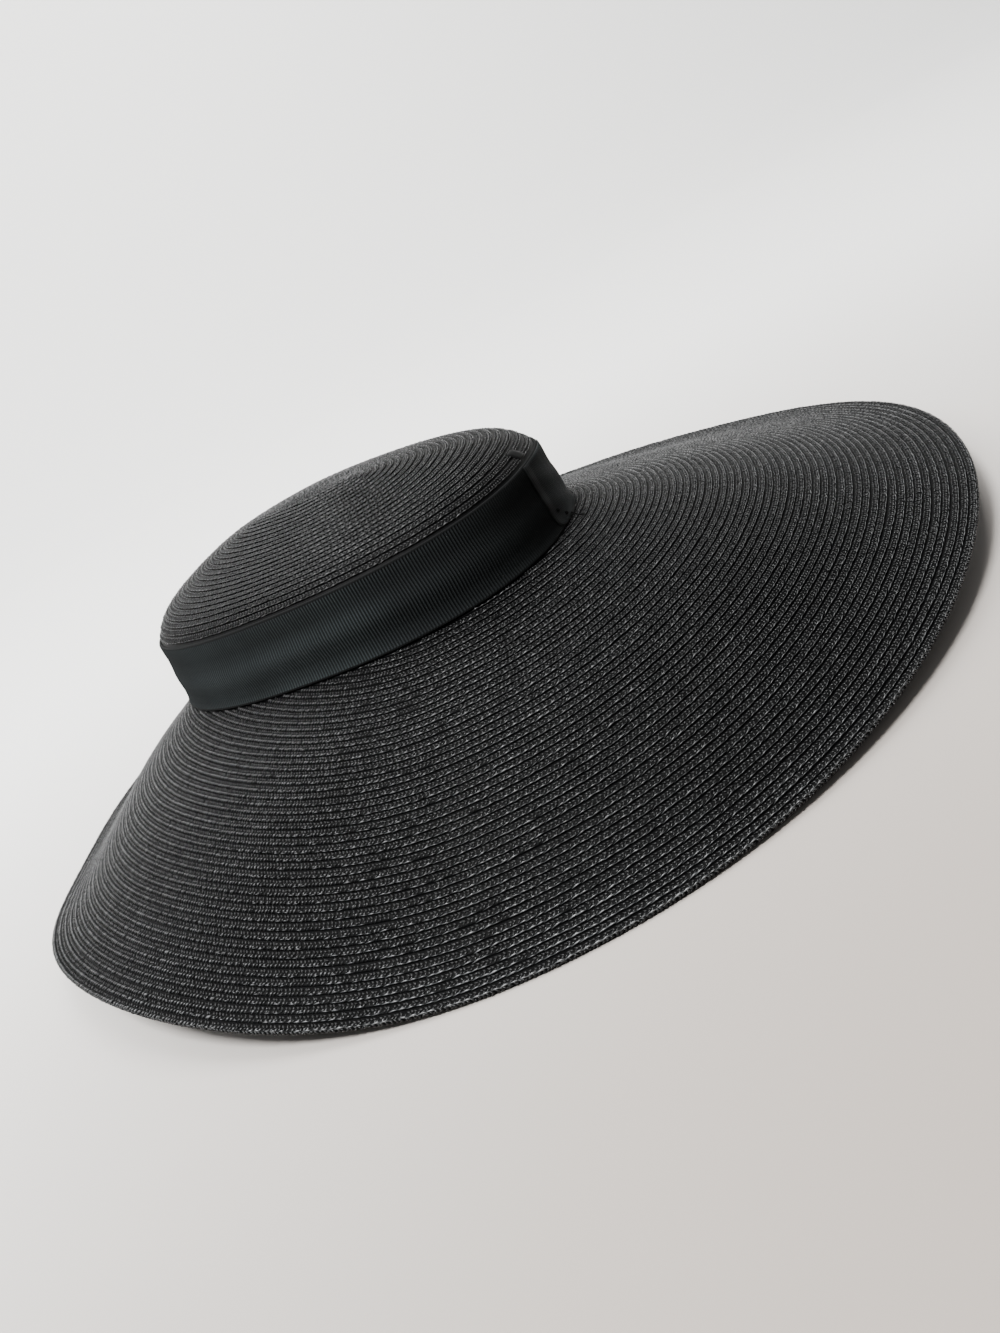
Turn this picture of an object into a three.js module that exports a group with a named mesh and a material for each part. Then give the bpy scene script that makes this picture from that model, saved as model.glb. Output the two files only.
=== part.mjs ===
// Black straw cartwheel hat resting on its brim edge. Millimetres, +Z up.
// +X is the wide side of the brim near the ribbon's lapped end, -Y is the side shown in front.
import * as THREE from "three";

// Straw and spacing
const STRAW_WALL = 1.6;
const PIECE_GAP = 0.3;
const AROUND = 72;

// Brim: round edge, wavy, touching the surface at three flat spots
const BRIM_RADIUS = 221;
const EDGE_ROW_WIDTH = 2.4;
const REST_HALF_DEG = 5;
const EDGE_ARCHES = [
  { from_deg: 50, to_deg: 165, rise: 9.0 },
  { from_deg: 165, to_deg: 265, rise: 17.0 },
  { from_deg: 265, to_deg: 410, rise: 14.4 },
];

// Brim: slope from the edge up to the headline
const HEAD_RISE = 51.3;
const HEAD_TILT_X = 0.0;
const HEAD_TILT_Y = -0.039;
const SLOPE_SAG = -0.233;
const SLOPE_SKEW = -0.246;
const SLOPE_ROLL = -0.433;
const BRIM_RINGS = [0.06, 0.14, 0.23, 0.32, 0.41, 0.5, 0.59, 0.68, 0.77, 0.86, 0.94, 1.0];

// Headline: rounded oval where the crown meets the brim, off the brim's centre
const HEAD_X = -29.8;
const HEAD_Y = -0.3;
const HEAD_HALF_WIDTH = 77.0;
const HEAD_HALF_LENGTH = 98.4;
const HEAD_TURN_DEG = 61.4;
const HEAD_SQUARENESS = 2.36;

// Crown: straight side, rounded shoulder and a low roof of braid rows that rises evenly to a short ridge
const CROWN_SIDE = 31.6;
const CROWN_TAPER = 3.2;
const SHOULDER_RISE = 6.8;
const SHOULDER_POWER = 12.8;
const PEAK_RISE = 15.9;
const PEAK_POWER = 1.4;
const DOME_LEAN_X = 0.12;
const DOME_LEAN_Y = 0.44;
const PEAK_SHIFT_X = -5.8;
const PEAK_SHIFT_Y = 1.0;
const RIDGE_HALF_WIDTH = 2.0;
const DOME_RINGS = [0.992, 0.979, 0.961, 0.938, 0.908, 0.865, 0.79, 0.66, 0.48, 0.28, 0.1];

// Ribbon
const RIBBON_WIDTH = 30.6;
const RIBBON_THICK = 1.0;

// Lapped end of the ribbon: angles about the crown's centre, slanting front edge, rounded lower corner
const LAP_THICK = 0.9;
const LAP_START_LOW_DEG = 327.5;
const LAP_START_HIGH_DEG = 324.5;
const LAP_END_DEG = 350;
const LAP_COLUMNS = 10;
const LAP_ROWS = 4;
const LAP_CORNER = 7.0;

const rad = (deg) => (deg * Math.PI) / 180;

// Distance from the crown's centre to the headline oval, drawn in by inset, in a given direction
function ovalRadius(deg, inset) {
  const a = rad(deg - HEAD_TURN_DEG);
  const w = Math.abs(Math.cos(a)) / (HEAD_HALF_WIDTH - inset);
  const l = Math.abs(Math.sin(a)) / (HEAD_HALF_LENGTH - inset);
  return Math.pow(Math.pow(w, HEAD_SQUARENESS) + Math.pow(l, HEAD_SQUARENESS), -1 / HEAD_SQUARENESS);
}

// Point on the crown's side, which leans in by the taper as it climbs
function sidePoint(deg, inset, height) {
  const r = ovalRadius(deg, inset + (CROWN_TAPER * height) / CROWN_SIDE);
  const x = HEAD_X + r * Math.cos(rad(deg));
  const y = HEAD_Y + r * Math.sin(rad(deg));
  return new THREE.Vector3(x, y, headPlane(x, y) + height);
}

// Distance from the brim's centre to the same oval, found by halving
function headRadius(deg, inset) {
  let near = 0;
  let far = BRIM_RADIUS;
  for (let i = 0; i < 48; i += 1) {
    const mid = (near + far) / 2;
    const dx = mid * Math.cos(rad(deg)) - HEAD_X;
    const dy = mid * Math.sin(rad(deg)) - HEAD_Y;
    const limit = ovalRadius((Math.atan2(dy, dx) * 180) / Math.PI, inset);
    if (Math.hypot(dx, dy) < limit) near = mid;
    else far = mid;
  }
  return (near + far) / 2;
}

const headPlane = (x, y) => HEAD_RISE + HEAD_TILT_X * (x - HEAD_X) + HEAD_TILT_Y * (y - HEAD_Y);

// Height of the edge's underside above the surface it rests on
function edgeHeight(deg) {
  let height = 0;
  for (const arch of EDGE_ARCHES) {
    const turn = (((deg - arch.from_deg) % 360) + 360) % 360;
    const span = arch.to_deg - arch.from_deg - 2 * REST_HALF_DEG;
    const u = (turn - REST_HALF_DEG) / span;
    if (u > 0 && u < 1) height += arch.rise * Math.sin(Math.PI * u) ** 2;
  }
  return height;
}

const slope = (s) =>
  s +
  SLOPE_SAG * s * (1 - s) +
  SLOPE_SKEW * s * (1 - s) * (1 - 2 * s) +
  SLOPE_ROLL * s * (1 - s) * (1 - 6 * s + 6 * s * s);

// Upper face of the brim: s runs from 0 at the edge to 1 at the headline
function brimTop(deg, s) {
  const inner = headRadius(deg, 0);
  const r = BRIM_RADIUS - s * (BRIM_RADIUS - inner);
  const x = r * Math.cos(rad(deg));
  const y = r * Math.sin(rad(deg));
  const low = edgeHeight(deg) + STRAW_WALL;
  const high = headPlane(inner * Math.cos(rad(deg)), inner * Math.sin(rad(deg)));
  return new THREE.Vector3(x, y, low + (high - low) * slope(s));
}

function surfaceNormal(point, u, v, du, dv) {
  const a = point(u + du, v).sub(point(u - du, v));
  const b = point(u, v + dv).sub(point(u, v - dv));
  const n = a.cross(b).normalize();
  return n;
}

// Closed body from rings that follow one another; a ring of one point is a pole
function loft(rings, endless, name, color) {
  const index = [];
  const xyz = [];
  const starts = rings.map((ring) => {
    const start = xyz.length / 3;
    ring.forEach((p) => xyz.push(p.x, p.y, p.z));
    return start;
  });
  const last = endless ? rings.length : rings.length - 1;
  for (let k = 0; k < last; k += 1) {
    const m = (k + 1) % rings.length;
    const count = Math.max(rings[k].length, rings[m].length);
    for (let i = 0; i < count; i += 1) {
      const j = (i + 1) % count;
      const a = starts[k] + (rings[k].length > 1 ? i : 0);
      const b = starts[k] + (rings[k].length > 1 ? j : 0);
      const c = starts[m] + (rings[m].length > 1 ? j : 0);
      const d = starts[m] + (rings[m].length > 1 ? i : 0);
      if (rings[k].length > 1) index.push(a, b, d);
      if (rings[m].length > 1) index.push(b, c, d);
    }
  }
  const geometry = new THREE.BufferGeometry();
  geometry.setAttribute("position", new THREE.Float32BufferAttribute(xyz, 3));
  geometry.setIndex(index);
  geometry.computeVertexNormals();
  const mesh = new THREE.Mesh(geometry, new THREE.MeshStandardMaterial({ color, roughness: 0.7 }));
  mesh.name = name;
  return mesh;
}

const ringOf = (make) => Array.from({ length: AROUND }, (_, i) => make((360 * i) / AROUND));

// Brim: edge row with a flat underside, sloping rings, then a level ledge under the crown's side
function makeBrim() {
  const ledgeInset = RIBBON_THICK + PIECE_GAP + STRAW_WALL;
  const edgeShare = (deg) => EDGE_ROW_WIDTH / (BRIM_RADIUS - headRadius(deg, 0));
  const ledge = (deg, drop) => {
    const r = headRadius(deg, ledgeInset);
    const x = r * Math.cos(rad(deg));
    const y = r * Math.sin(rad(deg));
    return new THREE.Vector3(x, y, headPlane(x, y) - drop);
  };
  const under = (deg, s) => {
    const n = surfaceNormal(brimTop, deg, s, 0.5, 0.004);
    if (n.z < 0) n.negate();
    return brimTop(deg, s).addScaledVector(n, -STRAW_WALL);
  };
  const underEdge = (deg, s) => {
    const p = brimTop(deg, s);
    p.z = edgeHeight(deg);
    return p;
  };
  const rings = [];
  rings.push(ringOf((deg) => underEdge(deg, 0)));
  rings.push(ringOf((deg) => brimTop(deg, 0)));
  rings.push(ringOf((deg) => brimTop(deg, edgeShare(deg))));
  for (const s of BRIM_RINGS) rings.push(ringOf((deg) => brimTop(deg, s)));
  rings.push(ringOf((deg) => ledge(deg, 0)));
  rings.push(ringOf((deg) => ledge(deg, STRAW_WALL)));
  for (const s of [...BRIM_RINGS].reverse()) rings.push(ringOf((deg) => under(deg, s)));
  rings.push(ringOf((deg) => underEdge(deg, edgeShare(deg))));
  return loft(rings, true, "brim", 0x1c1e1f);
}

// Crown's outer face: t from 0 to 1 climbs the side, from 1 to 2 runs over the rows to the ridge
function crownFace(deg, t) {
  const inset = RIBBON_THICK + PIECE_GAP;
  if (t <= 1) return sidePoint(deg, inset, PIECE_GAP + (CROWN_SIDE - PIECE_GAP) * t);
  const far = Math.min(Math.max(2 - t, 0), 1);
  const rim = inset + CROWN_TAPER;
  const r = ovalRadius(deg, rim + (HEAD_HALF_WIDTH - rim - RIDGE_HALF_WIDTH) * (1 - far));
  const dx = r * Math.cos(rad(deg));
  const dy = r * Math.sin(rad(deg));
  const pull = 1 - far * far;
  const lean = DOME_LEAN_X * Math.cos(rad(deg)) + DOME_LEAN_Y * Math.sin(rad(deg));
  const rise = SHOULDER_RISE * (1 - far ** SHOULDER_POWER) + PEAK_RISE * (1 - far ** PEAK_POWER);
  return new THREE.Vector3(
    HEAD_X + dx + PEAK_SHIFT_X * pull,
    HEAD_Y + dy + PEAK_SHIFT_Y * pull,
    headPlane(HEAD_X + dx, HEAD_Y + dy) + CROWN_SIDE + (1 + lean * far) * rise,
  );
}

// Crown: outer face from the peak down, then the inner face back up to a second pole
function makeCrown() {
  const inner = (deg, t) => {
    const n = surfaceNormal(crownFace, deg, t, 0.5, 0.01);
    const p = crownFace(deg, t);
    const out = new THREE.Vector3(p.x - HEAD_X, p.y - HEAD_Y, 40);
    if (n.dot(out) < 0) n.negate();
    return p.addScaledVector(n, -STRAW_WALL);
  };
  const foot = ringOf((deg) => sidePoint(deg, RIBBON_THICK + PIECE_GAP + STRAW_WALL, PIECE_GAP));
  const steps = [1, ...DOME_RINGS.map((far) => 2 - far)];
  const peak = new THREE.Vector3(
    HEAD_X + PEAK_SHIFT_X,
    HEAD_Y + PEAK_SHIFT_Y,
    headPlane(HEAD_X, HEAD_Y) + CROWN_SIDE + SHOULDER_RISE + PEAK_RISE,
  );
  const rings = [[peak]];
  for (const t of [...steps].reverse()) rings.push(ringOf((deg) => crownFace(deg, t)));
  rings.push(ringOf((deg) => crownFace(deg, 0)));
  rings.push(foot);
  for (const t of steps) rings.push(ringOf((deg) => inner(deg, t)));
  rings.push([new THREE.Vector3(peak.x, peak.y, peak.z - STRAW_WALL)]);
  return loft(rings.reverse(), false, "crown", 0x1c1e1f);
}

function makeRibbon() {
  const at = (inset, height) => ringOf((deg) => sidePoint(deg, inset, height));
  const heights = [PIECE_GAP, 0.33 * RIBBON_WIDTH, 0.67 * RIBBON_WIDTH, RIBBON_WIDTH];
  const rings = heights.map((h) => at(0, h));
  for (const h of [...heights].reverse()) rings.push(at(RIBBON_THICK, h));
  return loft(rings, true, "ribbon_band", 0x141617);
}

// Lapped end: strips of four-sided sections, following the ribbon's outer face
function makeLap() {
  const low = PIECE_GAP + 0.4;
  const high = RIBBON_WIDTH - 0.4;
  const column = (u, v, inset) => {
    const height = low + (high - low) * v;
    const start = LAP_START_LOW_DEG + (LAP_START_HIGH_DEG - LAP_START_LOW_DEG) * v;
    const round = Math.max(0, 1 - (height - low) / LAP_CORNER);
    const cut = start + 3.2 * (1 - Math.sqrt(Math.max(0, 1 - round * round)));
    const deg = cut + (LAP_END_DEG - cut) * u;
    return sidePoint(deg, inset, height);
  };
  const sections = [];
  for (let i = 0; i <= LAP_COLUMNS; i += 1) {
    const ring = [];
    for (let j = 0; j <= LAP_ROWS; j += 1) ring.push(column(i / LAP_COLUMNS, j / LAP_ROWS, -PIECE_GAP));
    for (let j = LAP_ROWS; j >= 0; j -= 1) {
      ring.push(column(i / LAP_COLUMNS, j / LAP_ROWS, -PIECE_GAP - LAP_THICK));
    }
    sections.push(ring);
  }
  const centre = (ring) => ring.reduce((a, p) => a.add(p), new THREE.Vector3()).divideScalar(ring.length);
  return loft([[centre(sections[0])], ...sections, [centre(sections.at(-1))]], false, "ribbon_end", 0x181a1b);
}

const hat = new THREE.Group();
hat.name = "cartwheel_hat";
hat.add(makeCrown(), makeBrim(), makeRibbon(), makeLap());
export default hat;
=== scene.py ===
import math

import bpy
import numpy as np
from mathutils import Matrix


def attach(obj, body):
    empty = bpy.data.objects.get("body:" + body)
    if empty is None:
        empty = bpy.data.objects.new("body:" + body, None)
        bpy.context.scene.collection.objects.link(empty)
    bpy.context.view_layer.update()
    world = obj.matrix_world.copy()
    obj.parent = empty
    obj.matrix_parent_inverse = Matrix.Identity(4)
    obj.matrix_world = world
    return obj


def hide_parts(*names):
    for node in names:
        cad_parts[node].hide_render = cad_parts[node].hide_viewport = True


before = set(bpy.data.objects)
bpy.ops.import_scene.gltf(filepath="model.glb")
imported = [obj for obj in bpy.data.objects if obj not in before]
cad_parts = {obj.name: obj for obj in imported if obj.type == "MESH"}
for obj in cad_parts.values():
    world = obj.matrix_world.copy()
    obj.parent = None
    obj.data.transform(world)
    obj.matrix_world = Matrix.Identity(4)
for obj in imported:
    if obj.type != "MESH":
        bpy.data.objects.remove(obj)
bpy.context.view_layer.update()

# Camera: held close above the front of the brim and turned on its side a little,
# so that the hat leans to the left in the picture.
CAMERA_PLACE = (0.00326, -0.4387, 0.18337)
CAMERA_PITCH_DEG, CAMERA_TURN_DEG = 66.282, -29.501
CAMERA_LENS, CAMERA_SENSOR = 27.0, 36.0
lens_view = bpy.data.cameras.new("lens_view")
lens_view.lens = CAMERA_LENS
lens_view.sensor_width = CAMERA_SENSOR
camera = bpy.data.objects.new("camera", lens_view)
bpy.context.collection.objects.link(camera)
camera.rotation_mode = "ZYX"
camera.location = CAMERA_PLACE
camera.rotation_euler = (math.radians(CAMERA_PITCH_DEG), 0.0, math.radians(CAMERA_TURN_DEG))
bpy.context.scene.camera = camera

# Brim: dyed straw braid sewn round and round from the crown outwards. Each row laps over
# the next one out, so every row ends in a raised edge with a groove below it, painted dark as shade.
# The rows keep to the round outer edge and run under the ribbon where the brim is narrow.
MM = 0.001
STRAW_WALL = 1.6
BRIM_RADIUS = 221.0
REST_HALF_DEG = 5.0
EDGE_ARCHES = ((50.0, 165.0, 9.0), (165.0, 265.0, 17.0), (265.0, 410.0, 14.4))
HEAD_X, HEAD_Y = -29.8, -0.3
HEAD_HALF_WIDTH, HEAD_HALF_LENGTH = 77.0, 98.4
HEAD_TURN_DEG = 61.4
HEAD_SQUARENESS = 2.36
HEAD_RISE = 51.3
HEAD_TILT_Y = -0.039
SLOPE_SAG, SLOPE_SKEW, SLOPE_ROLL = -0.233, -0.246, -0.433
LEDGE_INSET = 2.9
BRIM_ROW = 3.0
BRIM_COLUMNS = 256
SLOPE_STEPS = 160
HALVINGS = 44
TABLE_STEP, TABLE_SPARE, TABLE_END = 0.25, 2.0, 1.001
NO_STRETCH = 1e-6


def oval_radius(deg, inset):
    """Radius of the headline oval, drawn in by inset, from the crown's centre."""
    turn = np.radians(deg - HEAD_TURN_DEG)
    wide = np.abs(np.cos(turn)) / (HEAD_HALF_WIDTH - inset)
    long = np.abs(np.sin(turn)) / (HEAD_HALF_LENGTH - inset)
    return (wide**HEAD_SQUARENESS + long**HEAD_SQUARENESS) ** (-1.0 / HEAD_SQUARENESS)


def head_plane(y):
    """Height of the headline, where the crown stands on the brim."""
    return HEAD_RISE + HEAD_TILT_Y * (y - HEAD_Y)


def head_radius(deg, inset):
    """Radius of the same oval from the middle of the brim, found by halving."""
    near = np.zeros_like(deg)
    far = np.full_like(deg, BRIM_RADIUS)
    for _ in range(HALVINGS):
        mid = (near + far) / 2
        dx = mid * np.cos(np.radians(deg)) - HEAD_X
        dy = mid * np.sin(np.radians(deg)) - HEAD_Y
        inside = np.hypot(dx, dy) < oval_radius(np.degrees(np.arctan2(dy, dx)), inset)
        near = np.where(inside, mid, near)
        far = np.where(inside, far, mid)
    return (near + far) / 2


def edge_height(deg):
    """Height of the edge over the floor: three arches between the three spots it rests on."""
    height = np.zeros_like(deg)
    for start, stop, rise in EDGE_ARCHES:
        u = ((deg - start) % 360 - REST_HALF_DEG) / (stop - start - 2 * REST_HALF_DEG)
        height += np.where((u > 0) & (u < 1), rise * np.sin(np.pi * u) ** 2, 0)
    return height


def brim_slope(s):
    """Share of the climb from edge to headline: a shallow cone that flattens towards its edge."""
    bow = s * (1 - s)
    return s + bow * (SLOPE_SAG + SLOPE_SKEW * (1 - 2 * s) + SLOPE_ROLL * (1 - 6 * s + 6 * s * s))


brim_deg = np.arange(BRIM_COLUMNS) * 360.0 / BRIM_COLUMNS
brim_sin = np.sin(np.radians(brim_deg))
head_r = head_radius(brim_deg, 0.0)
ledge_r = head_radius(brim_deg, LEDGE_INSET)
climb = np.linspace(0, 1, SLOPE_STEPS)[:, None]
line_r = BRIM_RADIUS - climb * (BRIM_RADIUS - head_r)
edge_top = edge_height(brim_deg) + STRAW_WALL
line_z = edge_top + (head_plane(head_r * brim_sin) - edge_top) * brim_slope(climb)
line_r = np.vstack([line_r, ledge_r])
line_z = np.vstack([line_z, head_plane(ledge_r * brim_sin)])
walk = np.hypot(np.diff(line_r, axis=0), np.diff(line_z, axis=0))
walk = np.vstack([np.zeros(BRIM_COLUMNS), np.cumsum(walk, axis=0)])
brim_reach, head_reach = walk[-1], walk[-2]
steps = np.arange(0, brim_reach.max() + TABLE_SPARE, TABLE_STEP)
table_r = np.stack([np.interp(steps, walk[:, i], line_r[:, i]) for i in range(BRIM_COLUMNS)], 1)
table_z = np.stack([np.interp(steps, walk[:, i], line_z[:, i]) for i in range(BRIM_COLUMNS)], 1)
grow_r, grow_z = np.gradient(table_r, axis=0), np.gradient(table_z, axis=0)
stretch = np.hypot(grow_r, grow_z)
table_nr = np.where(stretch > NO_STRETCH, grow_z / np.maximum(stretch, NO_STRETCH), 0.0)
table_nz = np.where(stretch > NO_STRETCH, -grow_r / np.maximum(stretch, NO_STRETCH), 1.0)


def read_table(table, column, row):
    """Reads a table between its points; columns go round and rows stop at the ends."""
    column = np.mod(column, table.shape[1])
    row = np.clip(row, 0, table.shape[0] - TABLE_END)
    c0, r0 = np.floor(column).astype(int), np.floor(row).astype(int)
    fc, fr = column - c0, row - r0
    c0, c1 = c0 % table.shape[1], (c0 + 1) % table.shape[1]
    low = table[r0, c0] * (1 - fc) + table[r0, c1] * fc
    high = table[r0 + 1, c0] * (1 - fc) + table[r0 + 1, c1] * fc
    return low * (1 - fr) + high * fr


def brim_at(column, inward, lift):
    """Point on the brim: columns round it, millimetres in from the edge, and lift off its face."""
    row = inward / TABLE_STEP
    r = read_table(table_r, column, row) + lift * read_table(table_nr, column, row)
    z = read_table(table_z, column, row) + lift * read_table(table_nz, column, row)
    turn = column * 2 * np.pi / BRIM_COLUMNS
    return np.stack([r * np.cos(turn), r * np.sin(turn), z], -1)


def mesh_piece(name, points, faces):
    """A smooth closed piece from points in millimetres, with its faces turned outwards."""
    mesh = bpy.data.meshes.new(name)
    mesh.from_pydata((np.asarray(points) * MM).tolist(), [], faces)
    mesh.validate()
    mesh.polygons.foreach_set("use_smooth", np.ones(len(mesh.polygons), dtype=bool))
    piece = bpy.data.objects.new(name, mesh)
    bpy.context.collection.objects.link(piece)
    bpy.ops.object.select_all(action="DESELECT")
    piece.select_set(True)
    bpy.context.view_layer.objects.active = piece
    bpy.ops.object.mode_set(mode="EDIT")
    bpy.ops.mesh.select_all(action="SELECT")
    bpy.ops.mesh.normals_make_consistent(inside=False)
    bpy.ops.object.mode_set(mode="OBJECT")
    return piece


def wrap_rings(rings, closed):
    """Faces between rings of point numbers that follow one another round the piece."""
    faces = []
    count = len(rings)
    for k in range(count if closed else count - 1):
        a, b = rings[k], rings[(k + 1) % count]
        a2, b2 = np.roll(a, -1), np.roll(b, -1)
        for quad in np.stack([a, a2, b2, b], 1).tolist():
            corners = list(dict.fromkeys(quad))
            if len(corners) > 2:
                faces.append(corners)
    return faces


def set_tones(piece, values):
    """Stores a tone at each point for the material: random lighter or darker straw or rib, with painted
    shade and highlight mixed in.
    """
    tone = piece.data.attributes.new("tone", "FLOAT", "POINT")
    tone.data.foreach_set("value", np.asarray(values).astype(np.float32))


ROW_SWAY = 0.09
ROW_WAVES = ((3, 1.0), (8, 0.6), (17, 0.5))
draw = np.random.default_rng(7)
brim_columns = np.arange(BRIM_COLUMNS, dtype=float)
brim_zero = 0 * brim_columns
row_count = int(math.ceil(brim_reach.max() / BRIM_ROW))
sway_starts = draw.uniform(0, 2 * np.pi, (row_count + 1, len(ROW_WAVES)))


def row_sway(k, column):
    """How far a row wanders in and out, because the braid is guided by hand."""
    turn = column * 2 * np.pi / BRIM_COLUMNS
    waves = (size * np.sin(count * turn + start) for (count, size), start in zip(ROW_WAVES, sway_starts[k]))
    return ROW_SWAY * sum(waves)


# Each line of a row: millimetres in from the row's edge, lift off the face, and tone; a tone of 0 paints
# the groove dark as shade.
ROW_RELIEF = ((0.0, -0.75, 0.0), (0.25, -0.4, 0.0), (0.5, 0.0, 0.2), (2.6, -0.35, 0.1))
# Underneath, the groove between rows is also painted darker as shade.
UNDER_RELIEF = ((2.2, -1.72, 0.5), (0.75, -1.6, 0.1), (0.55, -1.85, 0.6))
FLAT_ROWS = 4
UNDER_RIBBON, RIBBON_FADE, RIBBON_LEAST = 0.3, 1.6, 0.25
HEAD_MERGE = 0.1
RIM_BEVEL, RIM_TONE = 0.12, 0.1
points, rings, tones = [], [], []
inner_top = np.arange(BRIM_COLUMNS)
points.append(brim_at(brim_columns, brim_reach, brim_zero))
inner_under = inner_top + BRIM_COLUMNS
points.append(brim_at(brim_columns, brim_reach, brim_zero - STRAW_WALL))
tones += [0.0, 0.0]


def add_brim_ring(inward, lift, inner, tone):
    """Adds one line of a row, kept low under the ribbon and gathered in at the head opening."""
    clear = np.clip((head_reach + UNDER_RIBBON - inward) / RIBBON_FADE, RIBBON_LEAST, 1)
    lift = np.where(lift > 0, lift * clear, lift)
    start = sum(len(p) for p in points)
    points.append(brim_at(brim_columns, inward, lift))
    tones.append(tone)
    rings.append(np.where(inward < brim_reach - HEAD_MERGE, start + np.arange(BRIM_COLUMNS), inner))


for k in range(row_count):
    sway = row_sway(k, brim_columns) if k else brim_zero
    for inward, lift, tone in ROW_RELIEF:
        add_brim_ring(k * BRIM_ROW + inward + sway, lift + brim_zero, inner_top, tone)
rings.append(inner_top)
rings.append(inner_under)
for k in reversed(range(row_count)):
    for inward, lift, tone in UNDER_RELIEF:
        lift = -STRAW_WALL if k < FLAT_ROWS else lift
        add_brim_ring(k * BRIM_ROW + inward + brim_zero, lift + brim_zero, inner_under, tone)
add_brim_ring(RIM_BEVEL + brim_zero, brim_zero - STRAW_WALL + RIM_BEVEL, inner_under, RIM_TONE)
brim_straw = mesh_piece("brim_straw", np.concatenate(points), wrap_rings(rings, True))
set_tones(brim_straw, np.repeat(tones, [len(p) for p in points]))


def straw_material(name, deep, light, rough, wax, sheen):
    """Dyed straw: near black, each strand a little lighter or darker, with painted shade and highlight from
    its tone, and a dull wax sheen.
    """
    material = bpy.data.materials.new(name)
    material.use_nodes = True
    nodes, links = material.node_tree.nodes, material.node_tree.links
    shader = nodes["Principled BSDF"]
    shader.inputs["Specular IOR Level"].default_value = wax
    shader.inputs["Sheen Weight"].default_value = sheen
    shader.inputs["Sheen Roughness"].default_value = 0.4
    place = nodes.new("ShaderNodeTexCoord")
    tone = nodes.new("ShaderNodeAttribute")
    tone.attribute_name = "tone"
    patches = nodes.new("ShaderNodeTexNoise")
    patches.inputs["Scale"].default_value = 16.0
    patches.inputs["Detail"].default_value = 3.0
    links.new(place.outputs["Object"], patches.inputs["Vector"])
    blend = nodes.new("ShaderNodeMath")
    blend.operation = "MULTIPLY_ADD"
    links.new(patches.outputs["Fac"], blend.inputs[0])
    blend.inputs[1].default_value = 0.35
    links.new(tone.outputs["Fac"], blend.inputs[2])
    colours = nodes.new("ShaderNodeValToRGB")
    colours.color_ramp.elements[0].position = 0.2
    colours.color_ramp.elements[0].color = (*deep, 1)
    colours.color_ramp.elements[1].position = 1.0
    colours.color_ramp.elements[1].color = (*light, 1)
    links.new(blend.outputs[0], colours.inputs["Fac"])
    links.new(colours.outputs["Color"], shader.inputs["Base Color"])
    dull = nodes.new("ShaderNodeMapRange")
    dull.inputs["To Min"].default_value = rough + 0.14
    dull.inputs["To Max"].default_value = rough - 0.12
    links.new(tone.outputs["Fac"], dull.inputs["Value"])
    links.new(dull.outputs["Result"], shader.inputs["Roughness"])
    fibre = nodes.new("ShaderNodeTexNoise")
    fibre.inputs["Scale"].default_value = 2600.0
    links.new(place.outputs["Object"], fibre.inputs["Vector"])
    grain = nodes.new("ShaderNodeBump")
    grain.inputs["Strength"].default_value = 0.25
    grain.inputs["Distance"].default_value = 0.0001
    links.new(fibre.outputs["Fac"], grain.inputs["Height"])
    links.new(grain.outputs["Normal"], shader.inputs["Normal"])
    return material


GROUND_DEEP, GROUND_LIGHT = (0.0002, 0.0002, 0.0003), (0.0045, 0.0047, 0.0048)
straw_ground = straw_material("straw_ground", GROUND_DEEP, GROUND_LIGHT, rough=0.5, wax=0.05, sheen=0.01)
brim_straw.data.materials.append(straw_ground)
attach(brim_straw, "root")
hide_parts("brim")

# Plait of the brim: every row of braid is woven from narrow straws that cross in a V and
# turn back along its raised edge. Each straw that shows is a slim grain lying on its row.
# The edges take a painted highlight, brightest at the front; on the left and behind, the loops stand out
# and some take it too.
PLAIT_STEP = 1.42
# Each rank: millimetres in from the row's edge, slant, lift, half sizes, tones, and spacing.
EDGE_RANK = (0.42, 3.0, 0.14, (2.3, 0.2, 0.3), (0.45, 0.85), 2.0)
LOOP_RANK = (1.08, 54.0, 0.08, (0.98, 0.33, 0.3), (0.25, 1.0), 1.0)
FLAT_RANK = (2.05, -38.0, -0.04, (0.98, 0.4, 0.26), (0.05, 0.6), 1.0)
PLAIT_RANKS = (EDGE_RANK, LOOP_RANK, FLAT_RANK)
TONE_POWER = 1.6
ROUND_JITTER, IN_JITTER, LIFT_JITTER, SIZE_JITTER = 0.04, 0.05, 0.05, 0.1
EDGE_LEAN_JITTER, LEAN_JITTER = 4.0, 7.0
HEAD_CLEAR = 0.9
GLINT_DEG, GLINT_SPREAD, GLINT_LEAST = 257.0, 23.0, 0.3
GLINT_AT_RIM, GLINT_LOSS = 1.15, 0.008
LOOSE_FROM, LOOSE_TO, LOOSE_FADE = 80.0, 241.0, 14.0
LOOSE_REACH, LOOSE_LEAN, LOOSE_LIFT, LOOSE_HIGHLIT = 0.36, 40.0, 0.3, 2.9
LOOSE_EDGES_LOST = 0.8
LOOP_GLINT_AT_RIM, LOOP_GLINT_LOSS = 0.4, 0.0015
# Each rank of the rim: millimetres below its top, slant, lift, and tone.
RIM_RANKS = ((0.35, 40.0, 0.06, 1.0), (0.86, -33.0, 0.0, 0.9))
RIM_GRAIN = (0.95, 0.4, 0.3)
RIM_LEAN_JITTER, RIM_LEAN_MOST, RIM_DROP_MOST = 5.0, 6.0, 0.08
GRAIN_FOOT = 0.6
GRAIN_TIP = 0.22
GRAIN_FACES = np.array([(0, 2, 4), (2, 1, 4), (1, 3, 4), (3, 0, 4), (0, 3, 1), (0, 1, 2)])
PROBE_ROUND, PROBE_IN, TINY = 0.05, 0.3, 1e-9
STRAND_DEEP, STRAND_LIGHT = (0.0005, 0.0005, 0.0006), (0.0115, 0.0121, 0.0124)
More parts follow.
